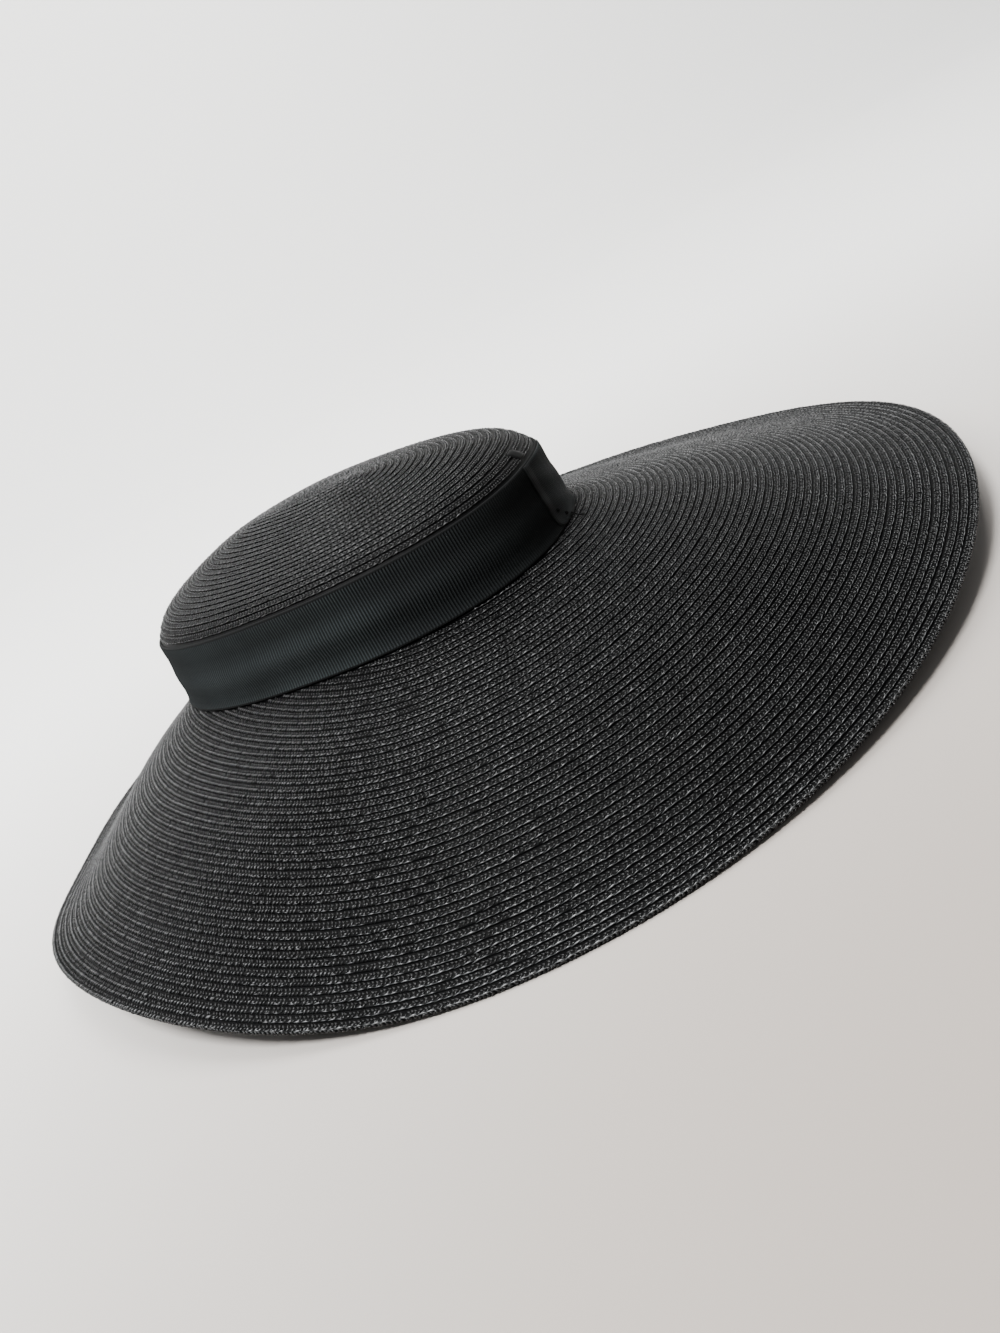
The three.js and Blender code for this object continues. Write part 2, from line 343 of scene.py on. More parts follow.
# Painted highlight: the glossy straw's light colour is ten times the strands', standing in for glints on
# edges and loops.
EDGE_HIGHLIGHT = (0.12, 0.124, 0.127)
straw_strand = straw_material("straw_strand", STRAND_DEEP, STRAND_LIGHT, rough=0.28, wax=0.36, sheen=0.02)
straw_highlight = straw_material("straw_highlight", STRAND_DEEP, EDGE_HIGHLIGHT, rough=0.38, wax=0.78, sheen=0.02)


def plait_grains(point_at, column, inward, lift, slant, shape, size):
    """Four-sided grains on a face that point_at describes, slanting across its rows."""
    centre = point_at(column, inward, lift)
    along = point_at(column + PROBE_ROUND, inward, lift) - point_at(column - PROBE_ROUND, inward, lift)
    across = point_at(column, inward + PROBE_IN, lift) - point_at(column, inward - PROBE_IN, lift)
    along /= np.linalg.norm(along, axis=1)[:, None]
    across -= along * (along * across).sum(1)[:, None]
    across /= np.linalg.norm(across, axis=1)[:, None] + TINY
    out = point_at(column, inward, lift + 1.0) - centre
    out /= np.linalg.norm(out, axis=1)[:, None] + TINY
    turn = np.radians(slant)[:, None]
    length = along * np.cos(turn) + across * np.sin(turn)
    width = np.cross(out, length)
    tip = draw.normal(0, GRAIN_TIP, len(centre))[:, None]
    width, out = width * np.cos(tip) + out * np.sin(tip), out * np.cos(tip) - width * np.sin(tip)
    half_length, half_width, half_height = ((size * s)[:, None] for s in shape)
    foot = centre - out * GRAIN_FOOT * half_height
    corners = [
        foot + length * half_length,
        foot - length * half_length,
        foot + width * half_width,
        foot - width * half_width,
        centre + out * half_height,
    ]
    return np.stack(corners, 1)


def grain_piece(name, grains, tones, highlit):
    """Joins grains into one piece; those marked take the glossier straw, whose pale colour is a painted
    highlight.
    """
    grains, tones, highlit = (np.concatenate(parts) for parts in (grains, tones, highlit))
    count, corners = grains.shape[:2]
    faces = (np.arange(count)[:, None, None] * corners + GRAIN_FACES[None]).reshape(-1, 3)
    mesh = bpy.data.meshes.new(name)
    mesh.vertices.add(count * corners)
    mesh.vertices.foreach_set("co", (grains.reshape(-1) * MM).astype(np.float32))
    mesh.loops.add(faces.size)
    mesh.loops.foreach_set("vertex_index", faces.reshape(-1).astype(np.int32))
    mesh.polygons.add(len(faces))
    mesh.polygons.foreach_set("loop_start", np.arange(0, faces.size, 3, dtype=np.int32))
    mesh.update(calc_edges=True)
    mesh.polygons.foreach_set("use_smooth", np.ones(len(faces), dtype=bool))
    mesh.materials.append(straw_strand)
    mesh.materials.append(straw_highlight)
    mesh.polygons.foreach_set("material_index", np.repeat(highlit, len(GRAIN_FACES)).astype(np.int32))
    piece = bpy.data.objects.new(name, mesh)
    bpy.context.collection.objects.link(piece)
    set_tones(piece, np.repeat(tones, corners))
    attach(piece, "root")


def edge_glint(column, inward):
    """How bright the painted highlight on the raised edges is: most on the front of the brim, near its rim.
    """
    off = (column * 360.0 / BRIM_COLUMNS - GLINT_DEG + 180) % 360 - 180
    front = np.exp(-((off / GLINT_SPREAD) ** 2)) * (GLINT_AT_RIM - GLINT_LOSS * inward)
    return GLINT_LEAST + (1 - GLINT_LEAST) * front


def loose_share(column):
    """How much the loops of the braid stand out over the groove: on the left side and behind."""
    deg = column * 360.0 / BRIM_COLUMNS % 360
    begun = 0.5 + 0.5 * np.tanh((deg - LOOSE_FROM) / LOOSE_FADE)
    ended = 0.5 + 0.5 * np.tanh((deg - LOOSE_TO) / LOOSE_FADE)
    return begun * (1 - ended)


def brim_row_grains(k):
    """The grains of one row, with their tones and whether each one takes the glossy straw with the painted
    highlight.
    """
    middle = (k + 0.5) * BRIM_ROW
    radius = np.median(read_table(table_r, brim_columns, brim_zero + middle / TABLE_STEP))
    grains, tones, highlit = [], [], []
    for rank in PLAIT_RANKS:
        inward, slant, lift, shape, shades, spacing = rank
        on_edge = rank is EDGE_RANK
        count = int(round(2 * np.pi * radius / (PLAIT_STEP * spacing)))
        column = (np.arange(count) + draw.uniform(0, 1)) * BRIM_COLUMNS / count
        column = column + draw.normal(0, ROUND_JITTER, count)
        glint, loose = edge_glint(column, middle), loose_share(column)
        reach = loose * (LOOSE_REACH if rank is LOOP_RANK else 0)
        inward = k * BRIM_ROW + inward - reach + row_sway(k, column) + draw.normal(0, IN_JITTER, count)
        keep = inward < np.interp(column, brim_columns, head_reach, period=BRIM_COLUMNS) - HEAD_CLEAR
        keep = keep & (draw.uniform(0, 1, count) < (1 - LOOSE_EDGES_LOST * loose if on_edge else 1))
        column, inward, glint, reach, loose = (v[keep] for v in (column, inward, glint, reach, loose))
        some = len(column)
        if not some:
            continue
        lean_jitter = EDGE_LEAN_JITTER if on_edge else LEAN_JITTER
        lean = slant + LOOSE_LEAN * reach + draw.normal(0, lean_jitter, some)
        size = draw.normal(1.0, SIZE_JITTER, some)
        if on_edge:
            shape = (shape[0] * (1 - LOOSE_EDGES_LOST * loose), *shape[1:])
        lift = lift + LOOSE_LIFT * reach + draw.normal(0, LIFT_JITTER, some)
        grains.append(plait_grains(brim_at, column, inward, lift, lean, shape, size))
        # Painted highlight: every edge grain and some loose loops take the glossy pale straw; edges
        # brightest at the front, loops dimmed inward.
        glossy_highlit = draw.uniform(0, 1, some) < (1 if on_edge else LOOSE_HIGHLIT * reach)
        dim = np.where(glossy_highlit, glint if on_edge else LOOP_GLINT_AT_RIM - LOOP_GLINT_LOSS * middle, 1)
        tones.append(dim * (shades[0] + (shades[1] - shades[0]) * draw.uniform(0, 1, some) ** TONE_POWER))
        highlit.append(glossy_highlit)
    return grains, tones, highlit


def rim_at(column, below, out):
    """Point on the outer rim: columns round it, millimetres below its top, and out from its wall."""
    turn = column * 2 * np.pi / BRIM_COLUMNS
    away = np.stack([np.cos(turn), np.sin(turn), 0 * turn], -1)
    drop = np.stack([0 * turn, 0 * turn, below + 0 * turn], -1)
    return brim_at(column, 0 * column, 0 * column) + away * np.reshape(out + 0 * column, (-1, 1)) - drop


def rim_grains():
    """The grains of the braid's outer wall, which is all that shows of it from the side."""
    grains, tones, highlit = [], [], []
    count = int(round(2 * np.pi * BRIM_RADIUS / PLAIT_STEP))
    for below, slant, out, shade in RIM_RANKS:
        column = np.arange(count) * BRIM_COLUMNS / count + draw.normal(0, ROUND_JITTER, count)
        below = below + np.clip(draw.normal(0, IN_JITTER, count), -RIM_DROP_MOST, RIM_DROP_MOST)
        out = out + draw.normal(0, LIFT_JITTER, count)
        lean = slant + np.clip(draw.normal(0, RIM_LEAN_JITTER, count), -RIM_LEAN_MOST, RIM_LEAN_MOST)
        grains.append(plait_grains(rim_at, column, below, out, lean, RIM_GRAIN, np.ones(count)))
        tones.append(shade * draw.uniform(0, 1, count))
        highlit.append(np.zeros(count, dtype=bool))
    return grains, tones, highlit


for name, first, last in (
    ("brim_plait_edge", 0, 12),
    ("brim_plait_outer", 12, 24),
    ("brim_plait_middle", 24, 36),
    ("brim_plait_inner", 36, row_count),
):
    sets = [brim_row_grains(k) for k in range(first, last)]
    if first == 0:
        sets.append(rim_grains())
    grain_piece(name, *(sum(parts, []) for parts in zip(*sets)))

# Crown: the same braid, sewn round a short straight start on the ridge of the top, so that
# its rows are ovals which rise evenly from a rounded shoulder. The side below is straight
# and leans in a little as it climbs; the ribbon hides it.
CROWN_SIDE = 31.6
CROWN_TAPER = 3.2
CROWN_INSET = 1.3
FOOT_GAP = 0.3
SHOULDER_RISE, SHOULDER_POWER = 6.8, 12.8
PEAK_RISE, PEAK_POWER = 15.9, 1.4
DOME_LEAN_X, DOME_LEAN_Y = 0.12, 0.44
PEAK_SHIFT_X, PEAK_SHIFT_Y = -5.8, 1.0
RIDGE_HALF_WIDTH = 2.0
CROWN_COLUMNS = 192
CROWN_ROWS = 23
DOME_STEPS = 360
FRONT_STEPS = 900
FIRST_LINE = 0.02
OUTER_SIDE_HEIGHTS = (FOOT_GAP, CROWN_SIDE * 0.5, CROWN_SIDE - 0.6)
INNER_SIDE_HEIGHTS = (CROWN_SIDE * 0.96, FOOT_GAP)
SIDE_TONE = 0.3
TOP_TONE, TOP_TONE_GAIN = 0.2, 0.6
NO_LENGTH = 1e-12
crown_columns = np.arange(CROWN_COLUMNS, dtype=float)
crown_zero = 0 * crown_columns
crown_turn = crown_columns * 2 * np.pi / CROWN_COLUMNS


def turn_to_head(u, v):
    """Turns an offset across and along the head into the hat's own directions."""
    swing = math.radians(HEAD_TURN_DEG)
    return u * math.cos(swing) - v * math.sin(swing), u * math.sin(swing) + v * math.cos(swing)


def oval_at(turn, inset):
    """Point of the headline oval, drawn in by inset, as an offset from the crown's centre."""
    power = 2.0 / HEAD_SQUARENESS
    u = np.sign(np.cos(turn)) * np.abs(np.cos(turn)) ** power * (HEAD_HALF_WIDTH - inset)
    v = np.sign(np.sin(turn)) * np.abs(np.sin(turn)) ** power * (HEAD_HALF_LENGTH - inset)
    return turn_to_head(u, v)


def side_ring(inset, height):
    """Ring of points on the straight side, at a height above the headline."""
    dx, dy = oval_at(crown_turn, inset + CROWN_TAPER * height / CROWN_SIDE)
    return np.stack([HEAD_X + dx, HEAD_Y + dy, head_plane(HEAD_Y + dy) + height], -1)


def dome_at(turn, far):
    """Point of the top: far is 1 on the shoulder and 0 on the ridge."""
    rim = CROWN_INSET + CROWN_TAPER
    dx, dy = oval_at(turn, rim + (HEAD_HALF_WIDTH - rim - RIDGE_HALF_WIDTH) * (1 - far))
    lean = (DOME_LEAN_X * dx + DOME_LEAN_Y * dy) / np.hypot(dx, dy)
    rise = SHOULDER_RISE * (1 - far**SHOULDER_POWER) + PEAK_RISE * (1 - far**PEAK_POWER)
    z = head_plane(HEAD_Y + dy) + CROWN_SIDE + (1 + lean * far) * rise
    pull = 1 - far * far
    return np.stack([HEAD_X + dx + PEAK_SHIFT_X * pull, HEAD_Y + dy + PEAK_SHIFT_Y * pull, z], -1)


inwards = np.linspace(1, 0, FRONT_STEPS)
front_line = dome_at(np.full(FRONT_STEPS, np.pi), inwards)
front_walk = np.concatenate([[0], np.cumsum(np.linalg.norm(np.diff(front_line, axis=0), axis=1))])
CROWN_ROW = float(front_walk[-1] / CROWN_ROWS)
inwards = np.interp(np.linspace(0, front_walk[-1], DOME_STEPS), front_walk, inwards)
dome_table = dome_at(crown_turn[None] + 0 * inwards[:, None], inwards[:, None] + 0 * crown_turn[None])
sideways = np.roll(dome_table, -1, 1) - np.roll(dome_table, 1, 1)
dome_normal = np.cross(sideways, np.gradient(dome_table, axis=0))
dome_normal /= np.linalg.norm(dome_normal, axis=2)[:, :, None] + NO_LENGTH
dome_normal *= np.sign(dome_normal[:, :, 2:] + TINY)
ROW_STEPS = (DOME_STEPS - 1) / CROWN_ROWS


def crown_at(column, inward, lift):
    """Point on the top: columns round it, millimetres in from the shoulder, and lift off its face."""
    row = inward / CROWN_ROW * ROW_STEPS
    spots = [read_table(dome_table[:, :, c], column, row) for c in range(3)]
    leans = [read_table(dome_normal[:, :, c], column, row) for c in range(3)]
    return np.stack([s + lift * n for s, n in zip(spots, leans)], -1)


points, rings, tones = [], [], []


def add_crown_ring(spots, tone):
    """Adds one ring of points to the crown."""
    start = sum(len(p) for p in points)
    points.append(spots)
    tones.append(tone)
    rings.append(start + np.arange(len(spots)))


for height in OUTER_SIDE_HEIGHTS:
    add_crown_ring(side_ring(CROWN_INSET, height), SIDE_TONE)
share = CROWN_ROW / BRIM_ROW
for k in range(CROWN_ROWS):
    # The rows of the top take the brim's painted groove shade, softened.
    for inward, lift, tone in ROW_RELIEF:
        inward = max(FIRST_LINE, (k * BRIM_ROW + inward) * share)
        spots = crown_at(crown_columns, crown_zero + inward, crown_zero + lift)
        add_crown_ring(spots, TOP_TONE + TOP_TONE_GAIN * tone)
inner_start = len(rings)
for k in reversed(range(CROWN_ROWS)):
    for inward, lift, tone in UNDER_RELIEF:
        inward = (k * BRIM_ROW + inward) * share
        add_crown_ring(crown_at(crown_columns, crown_zero + inward, crown_zero + lift), tone)
for height in INNER_SIDE_HEIGHTS:
    add_crown_ring(side_ring(CROWN_INSET + STRAW_WALL, height), SIDE_TONE)
faces = wrap_rings(rings[:inner_start], False) + wrap_rings(rings[inner_start:] + rings[:1], False)
quarter = CROWN_COLUMNS // 4
for ring in (rings[inner_start - 1], rings[inner_start]):
    for j in range(-quarter, quarter):
        strip = [ring[j], ring[j + 1], ring[2 * quarter - j - 1], ring[2 * quarter - j]]
        faces.append(list(dict.fromkeys(int(v) for v in strip)))
crown_straw = mesh_piece("crown_straw", np.concatenate(points), faces)
set_tones(crown_straw, np.repeat(tones, [len(p) for p in points]))
crown_straw.data.materials.append(straw_ground)
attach(crown_straw, "root")
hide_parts("crown")

# Plait of the crown: the same crossing straws on the wider rows of the top, and a short
# straight length of it on the ridge, where the sewing begins.
SHEEN_COLUMN, SHEEN_LENGTH, SHEEN_SPREAD, SHEEN_ASIDE = 107.0, 24.0, 24.0, 6.0
SHEEN_DEPTH, SHEEN_ROWS = 0.55, 8
CROWN_LEAN_JITTER, CROWN_SIZE_JITTER = 4.0, 0.05
SHOULDER_ROWS, SHOULDER_SIZE = 2, 0.9
LEAST_GRAINS = 3
CROWN_DEEP_SHARE, CROWN_LIGHT_SHARE, CROWN_EDGE_SHARE = 0.6, 0.5, 0.35
# Each rank of the ridge: millimetres across it, and slant.
RIDGE_RANKS = ((-1.8, -40.0), (-0.7, 40.0), (0.7, -40.0), (1.8, 40.0))
RIDGE_START, RIDGE_STOP = 1.0, 0.5
RIDGE_TONES = (0.2, 0.7)


def crown_sheen(column, inward):
    """Painted sheen and shade: soft lighter and darker bands across the front of the top."""
    wave = np.cos(2 * np.pi * (column - SHEEN_COLUMN) / SHEEN_LENGTH)
    near = np.exp(-(((column - SHEEN_COLUMN - SHEEN_ASIDE) / SHEEN_SPREAD) ** 2))
    deep = np.clip(inward / (CROWN_ROW * SHEEN_ROWS), 0, 1)
    return 1 + SHEEN_DEPTH * wave * near * deep


grains, tones, highlit = [], [], []
for k in range(CROWN_ROWS):
    ring = crown_at(crown_columns, crown_zero + (k + 0.5) * CROWN_ROW, crown_zero)
    around = np.linalg.norm(np.roll(ring, -1, 0) - ring, axis=1)
    gone = np.concatenate([[0], np.cumsum(around)])
    for rank in PLAIT_RANKS:
        inward, slant, lift, shape, shades, spacing = rank
        on_edge = rank is EDGE_RANK
        count = max(LEAST_GRAINS, int(round(gone[-1] / (PLAIT_STEP * share * spacing))))
        marks = (np.arange(count) + draw.uniform(0, 1)) / count * gone[-1]
        column = np.interp(marks, gone, np.arange(CROWN_COLUMNS + 1))
        inward = (k * BRIM_ROW + inward) * share + draw.normal(0, IN_JITTER, count)
        lean = slant + draw.normal(0, CROWN_LEAN_JITTER, count)
        size = draw.normal(share, CROWN_SIZE_JITTER, count) * (SHOULDER_SIZE if k < SHOULDER_ROWS else 1.0)
        lift = lift + draw.normal(0, LIFT_JITTER, count)
        grains.append(plait_grains(crown_at, column, inward, lift, lean, shape, size))
        # Painted sheen and shade bands on the front of the top; the edges' painted highlight is dimmed
        # here.
        wear_and_sheen = crown_sheen(column, inward) * (CROWN_EDGE_SHARE if on_edge else 1)
        deep, light = CROWN_DEEP_SHARE * shades[0], CROWN_LIGHT_SHARE * (shades[1] - shades[0])
        tones.append(wear_and_sheen * (deep + light * draw.uniform(0, 1, count)))
        highlit.append(np.full(count, on_edge))


def ridge_at(along, across, lift):
    """Point on the straight start of the top: millimetres along it, across it, and lift off it."""
    dx, dy = turn_to_head(across, along)
    z = head_plane(HEAD_Y + dy) + CROWN_SIDE + SHOULDER_RISE + PEAK_RISE + lift
    return np.stack([HEAD_X + dx + PEAK_SHIFT_X, HEAD_Y + dy + PEAK_SHIFT_Y, z], -1)


ridge_half = HEAD_HALF_LENGTH - HEAD_HALF_WIDTH + RIDGE_HALF_WIDTH
along = np.arange(-ridge_half + RIDGE_START, ridge_half - RIDGE_STOP, PLAIT_STEP)
for across, slant in RIDGE_RANKS:
    lean = slant + draw.normal(0, CROWN_LEAN_JITTER, len(along))
    size = 1 + 0 * along
    grains.append(plait_grains(ridge_at, along, across * size, 0 * along, lean, LOOP_RANK[3], size))
    tones.append(draw.uniform(*RIDGE_TONES, len(along)))
    highlit.append(np.zeros(len(along), dtype=bool))
grain_piece("crown_plait", grains, tones, highlit)

# Ribbon: black ribbed ribbon wrapped once round the side of the crown, with a narrow plain
# edge above and below. It lies a little slack, so soft dents run along it.
RIBBON_WIDTH = 30.6
RIBBON_THICK = 1.0
RIB_COUNT = 440
RIB_COLUMNS = 4
RIB_DEPTH = 0.3
OVAL_STEPS = 1441
# Each line along the ribbon: millimetres up, swell of the plain edge, and 1 where it is ribbed.
RIBBON_LINES = (
    (0.3, -0.12, 0),
    (0.5, 0.05, 0),
    (1.0, 0.06, 0),
    *((height, 0.0, 1) for height in (1.25, 4, 8, 12, 15.3, 18.6, 22.6, 26.6, 29.6)),
    (29.9, 0.02, 0),
    (30.35, -0.04, 0),
    (30.6, -0.3, 0),
)
FRONT_DEG, FRONT_SPREAD, FRONT_LEAST = 248.0, 40.0, 0.3
DENT_DEPTH, DENT_LEVEL, DENT_RIDGE = 1.9, 0.3, 0.5
DENT_WAVES, DENT_HEIGHT, DENT_WANDER, WANDER_TURNS = 1.75, 0.46, 0.05, 3
SLACK, SLACK_START, SLACK_TURNS = 0.3, 1.3, 5
FLARE, FLARE_HEIGHT = 0.9, 6.0
# Painted light: the front of the ribbon is made lighter, and its dents' ridges take a painted highlight.
LIT_DEG, LIT_SPREAD, LIT_LEAST, LIT_GAIN = 245.0, 42.0, 0.2, 1.4
DENT_HIGHLIGHT, DENT_HIGHLIGHT_GAIN, PLAIN_TONE = 0.8, 0.4, 0.05


def side_at(deg, inset, height):
    """Point on the crown's side: degrees round it, inset from its face, and height."""
    r = oval_radius(deg, inset + CROWN_TAPER * height / CROWN_SIDE)
    x = HEAD_X + r * np.cos(np.radians(deg))
    y = HEAD_Y + r * np.sin(np.radians(deg))
    return np.stack([x, y, head_plane(y) + height + 0 * x], -1)


def ribbon_dents(deg, height):
    """The ribbon lies slack: a soft ridge runs along its front and its lower edge flares out."""
    across = height / RIBBON_WIDTH
    inside = np.sin(np.pi * across)
    front = FRONT_LEAST + (1 - FRONT_LEAST) * np.exp(-(((deg - FRONT_DEG) / FRONT_SPREAD) ** 2))
    wander = DENT_WANDER * np.sin(np.radians(WANDER_TURNS * deg))
    ridge = np.cos(2 * np.pi * DENT_WAVES * (across - DENT_HEIGHT - wander))
    slack = SLACK * np.sin(np.radians(SLACK_TURNS * deg) + SLACK_START)
    flare = FLARE * np.clip(1 - height / FLARE_HEIGHT, 0, 1) ** 2
    return (DENT_DEPTH * front * (DENT_LEVEL + DENT_RIDGE * ridge) + slack) * inside + flare


ribbon_columns = RIB_COUNT * RIB_COLUMNS
fine_deg = np.linspace(0, 360, OVAL_STEPS)
fine = side_at(fine_deg, 0.0, 0.0 * fine_deg)
fine_walk = np.concatenate([[0], np.cumsum(np.linalg.norm(np.diff(fine, axis=0), axis=1))])
ribbon_deg = np.interp(np.arange(ribbon_columns) / ribbon_columns * fine_walk[-1], fine_walk, fine_deg)
rib_wave = np.cos(np.arange(ribbon_columns) * 2 * np.pi / RIB_COLUMNS)
rib_lit = LIT_LEAST + LIT_GAIN * np.exp(-(((ribbon_deg - LIT_DEG) / LIT_SPREAD) ** 2))
points, tones = [], []
for height, swell, ribbed in RIBBON_LINES:
    dent = ribbon_dents(ribbon_deg, height)
    push = swell + ribbed * RIB_DEPTH * rib_wave + dent
    points.append(side_at(ribbon_deg, -push, height))
    # Painted light and shade: rib valleys darker than the tops, the front of the ribbon lit brighter, a
    # painted highlight on the dents' ridges.
    light = (0.5 + 0.5 * rib_wave) * rib_lit * (DENT_HIGHLIGHT + DENT_HIGHLIGHT_GAIN * dent)
    tones.append(ribbed * light + (1 - ribbed) * PLAIN_TONE)
for height in (RIBBON_WIDTH, FOOT_GAP):
    points.append(side_at(ribbon_deg, RIBBON_THICK, height))
    tones.append(0 * rib_wave)
rings = [k * ribbon_columns + np.arange(ribbon_columns) for k in range(len(points))]
ribbon_wrap = mesh_piece("ribbon_wrap", np.concatenate(points), wrap_rings(rings, True))
set_tones(ribbon_wrap, np.concatenate(tones))


def ribbon_material(name, dark, light):
    """Ribbed ribbon: dull black warp over thick weft, with random worn mottling; its tone paints light on
    the rib tops, the front and the dents.
    """
    material = bpy.data.materials.new(name)
    material.use_nodes = True
    nodes, links = material.node_tree.nodes, material.node_tree.links
    shader = nodes["Principled BSDF"]
    shader.inputs["Specular IOR Level"].default_value = 0.15
    place = nodes.new("ShaderNodeTexCoord")
    wear_and_sheen = nodes.new("ShaderNodeTexNoise")
    wear_and_sheen.inputs["Scale"].default_value = 16.0
    wear_and_sheen.inputs["Detail"].default_value = 4.0
    links.new(place.outputs["Object"], wear_and_sheen.inputs["Vector"])
    colours = nodes.new("ShaderNodeValToRGB")
    colours.color_ramp.elements[0].position = 0.0
    colours.color_ramp.elements[0].color = (*dark, 1)
    colours.color_ramp.elements[1].position = 0.7
    colours.color_ramp.elements[1].color = (*light, 1)
    rib = nodes.new("ShaderNodeAttribute")
    rib.attribute_name = "tone"
    shade = nodes.new("ShaderNodeMath")
    shade.operation = "MULTIPLY"
    links.new(wear_and_sheen.outputs["Fac"], shade.inputs[0])
    links.new(rib.outputs["Fac"], shade.inputs[1])
    links.new(shade.outputs[0], colours.inputs["Fac"])
    links.new(colours.outputs["Color"], shader.inputs["Base Color"])
    dull = nodes.new("ShaderNodeMapRange")
    dull.inputs["To Min"].default_value = 0.95
    dull.inputs["To Max"].default_value = 0.5
    links.new(rib.outputs["Fac"], dull.inputs["Value"])
    links.new(dull.outputs["Result"], shader.inputs["Roughness"])
    threads = nodes.new("ShaderNodeTexNoise")
    threads.inputs["Scale"].default_value = 1500.0
    links.new(place.outputs["Object"], threads.inputs["Vector"])
    weave = nodes.new("ShaderNodeBump")
    weave.inputs["Strength"].default_value = 0.3
    weave.inputs["Distance"].default_value = 0.00012
    links.new(threads.outputs["Fac"], weave.inputs["Height"])
    links.new(weave.outputs["Normal"], shader.inputs["Normal"])
    return material


RIBBON_DARK, RIBBON_LIGHT = (0.0002, 0.0003, 0.0003), (0.0248, 0.0308, 0.0324)
ribbon_black = ribbon_material("ribbon_black", RIBBON_DARK, RIBBON_LIGHT)
ribbon_wrap.data.materials.append(ribbon_black)
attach(ribbon_wrap, "root")
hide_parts("ribbon_band")

# Lapped end: the ribbon's free end folded under and laid over its beginning, with a
# rounded lower corner, held down by two small stitches.
LAP_START_LOW, LAP_START_HIGH, LAP_END = 325.0, 325.5, 350.0
LAP_COLUMNS, LAP_ROWS = 176, 24
LAP_INSET = 0.4
LAP_CORNER, LAP_CORNER_DEG = 7.0, 3.6
LAP_LIFT, LAP_UNDER = 0.92, 0.35
LAP_FOLD, LAP_FOLD_PLACE, LAP_FOLD_SPREAD = 0.05, 0.03, 0.05
LAP_EDGE_DROP, LAP_EDGE_SPREAD = 0.3, 0.02
LAP_RIB_DEPTH, LAP_RIB_RISE = 0.12, 12
LAP_HOLLOW, LAP_HOLLOW_TALL, LAP_HOLLOW_START, LAP_HOLLOW_RISE = 0.42, 1.15, 0.05, 5
LAP_SINK, LAP_SINK_START, LAP_SINK_LENGTH = 0.55, 0.8, 0.2
LAP_TONE, LAP_TONE_GAIN, LAP_TONE_RISE, LAP_TONE_START = 0.1, 0.4, 2.2, 0.1
LAP_RIB_TONE, LAP_WAVE_TONE = 1.4, 0.1
LAP_WAVES_UP, LAP_WAVES_ALONG = 5 * np.pi, 6


def sheet_faces(columns, rows):
    """Faces of a thin sheet whose outer grid of points is followed by its inner one."""
    outer = np.arange(columns * rows).reshape(columns, rows)
    inner = outer + columns * rows
    faces = wrap_rings([np.concatenate([outer[i], inner[i][::-1]]) for i in range(columns)], False)
    for i in (0, columns - 1):
        for j in range(rows - 1):
            corners = (outer[i, j], outer[i, j + 1], inner[i, j + 1], inner[i, j])
            faces.append([int(v) for v in corners])
    return faces


lap_low, lap_high = FOOT_GAP + LAP_INSET, RIBBON_WIDTH - LAP_INSET
lap_u, lap_v = np.meshgrid(np.linspace(0, 1, LAP_COLUMNS), np.linspace(0, 1, LAP_ROWS), indexing="ij")
lap_height = lap_low + (lap_high - lap_low) * lap_v
lap_round = np.clip(1 - (lap_height - lap_low) / LAP_CORNER, 0, 1)
lap_cut = LAP_START_LOW + (LAP_START_HIGH - LAP_START_LOW) * lap_v
lap_cut = lap_cut + LAP_CORNER_DEG * (1 - np.sqrt(np.clip(1 - lap_round**2, 0, 1)))
lap_deg = lap_cut + (LAP_END - lap_cut) * lap_u
lap_fold = LAP_FOLD * np.exp(-(((lap_u - LAP_FOLD_PLACE) / LAP_FOLD_SPREAD) ** 2))
lap_fold = lap_fold - LAP_EDGE_DROP * np.exp(-((lap_u / LAP_EDGE_SPREAD) ** 2))
lap_ribs = LAP_RIB_DEPTH * np.cos(2 * np.pi * (lap_deg - LAP_START_LOW) / (360.0 / RIB_COUNT))
lap_hollow = LAP_HOLLOW * np.sin(np.pi * np.clip(lap_v * LAP_HOLLOW_TALL - LAP_HOLLOW_START, 0, 1))
lap_hollow = lap_hollow * np.clip(lap_u * LAP_HOLLOW_RISE, 0, 1)
lap_lift = LAP_LIFT + lap_fold - lap_hollow + lap_ribs * np.clip(lap_u * LAP_RIB_RISE - 1, 0, 1)
lap_lift = lap_lift * (1 - np.clip((lap_u - LAP_SINK_START) / LAP_SINK_LENGTH, 0, 1) ** 2 * LAP_SINK)
lap_base = np.maximum(ribbon_dents(lap_deg, lap_height), 0)
lap_outer = side_at(lap_deg, -lap_lift - lap_base, lap_height).reshape(-1, 3)
lap_inner = side_at(lap_deg, -LAP_UNDER - lap_base, lap_height).reshape(-1, 3)
lap_faces = sheet_faces(LAP_COLUMNS, LAP_ROWS)
ribbon_lap = mesh_piece("ribbon_lap", np.concatenate([lap_outer, lap_inner]), lap_faces)
lap_waves = LAP_WAVE_TONE * np.sin(LAP_WAVES_UP * lap_v + LAP_WAVES_ALONG * lap_u)
# Painted shade: the lap is darkest along its folded edge by the slit, lighter to the right, and darker in
# its rib valleys.
lap_light = LAP_TONE + LAP_TONE_GAIN * np.clip(lap_u * LAP_TONE_RISE - LAP_TONE_START, 0, 1)
lap_light = (lap_light + LAP_RIB_TONE * lap_ribs + lap_waves).ravel()
set_tones(ribbon_lap, np.concatenate([lap_light, 0 * lap_light]))
ribbon_lap.data.materials.append(ribbon_black)
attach(ribbon_lap, "root")
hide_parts("ribbon_end")

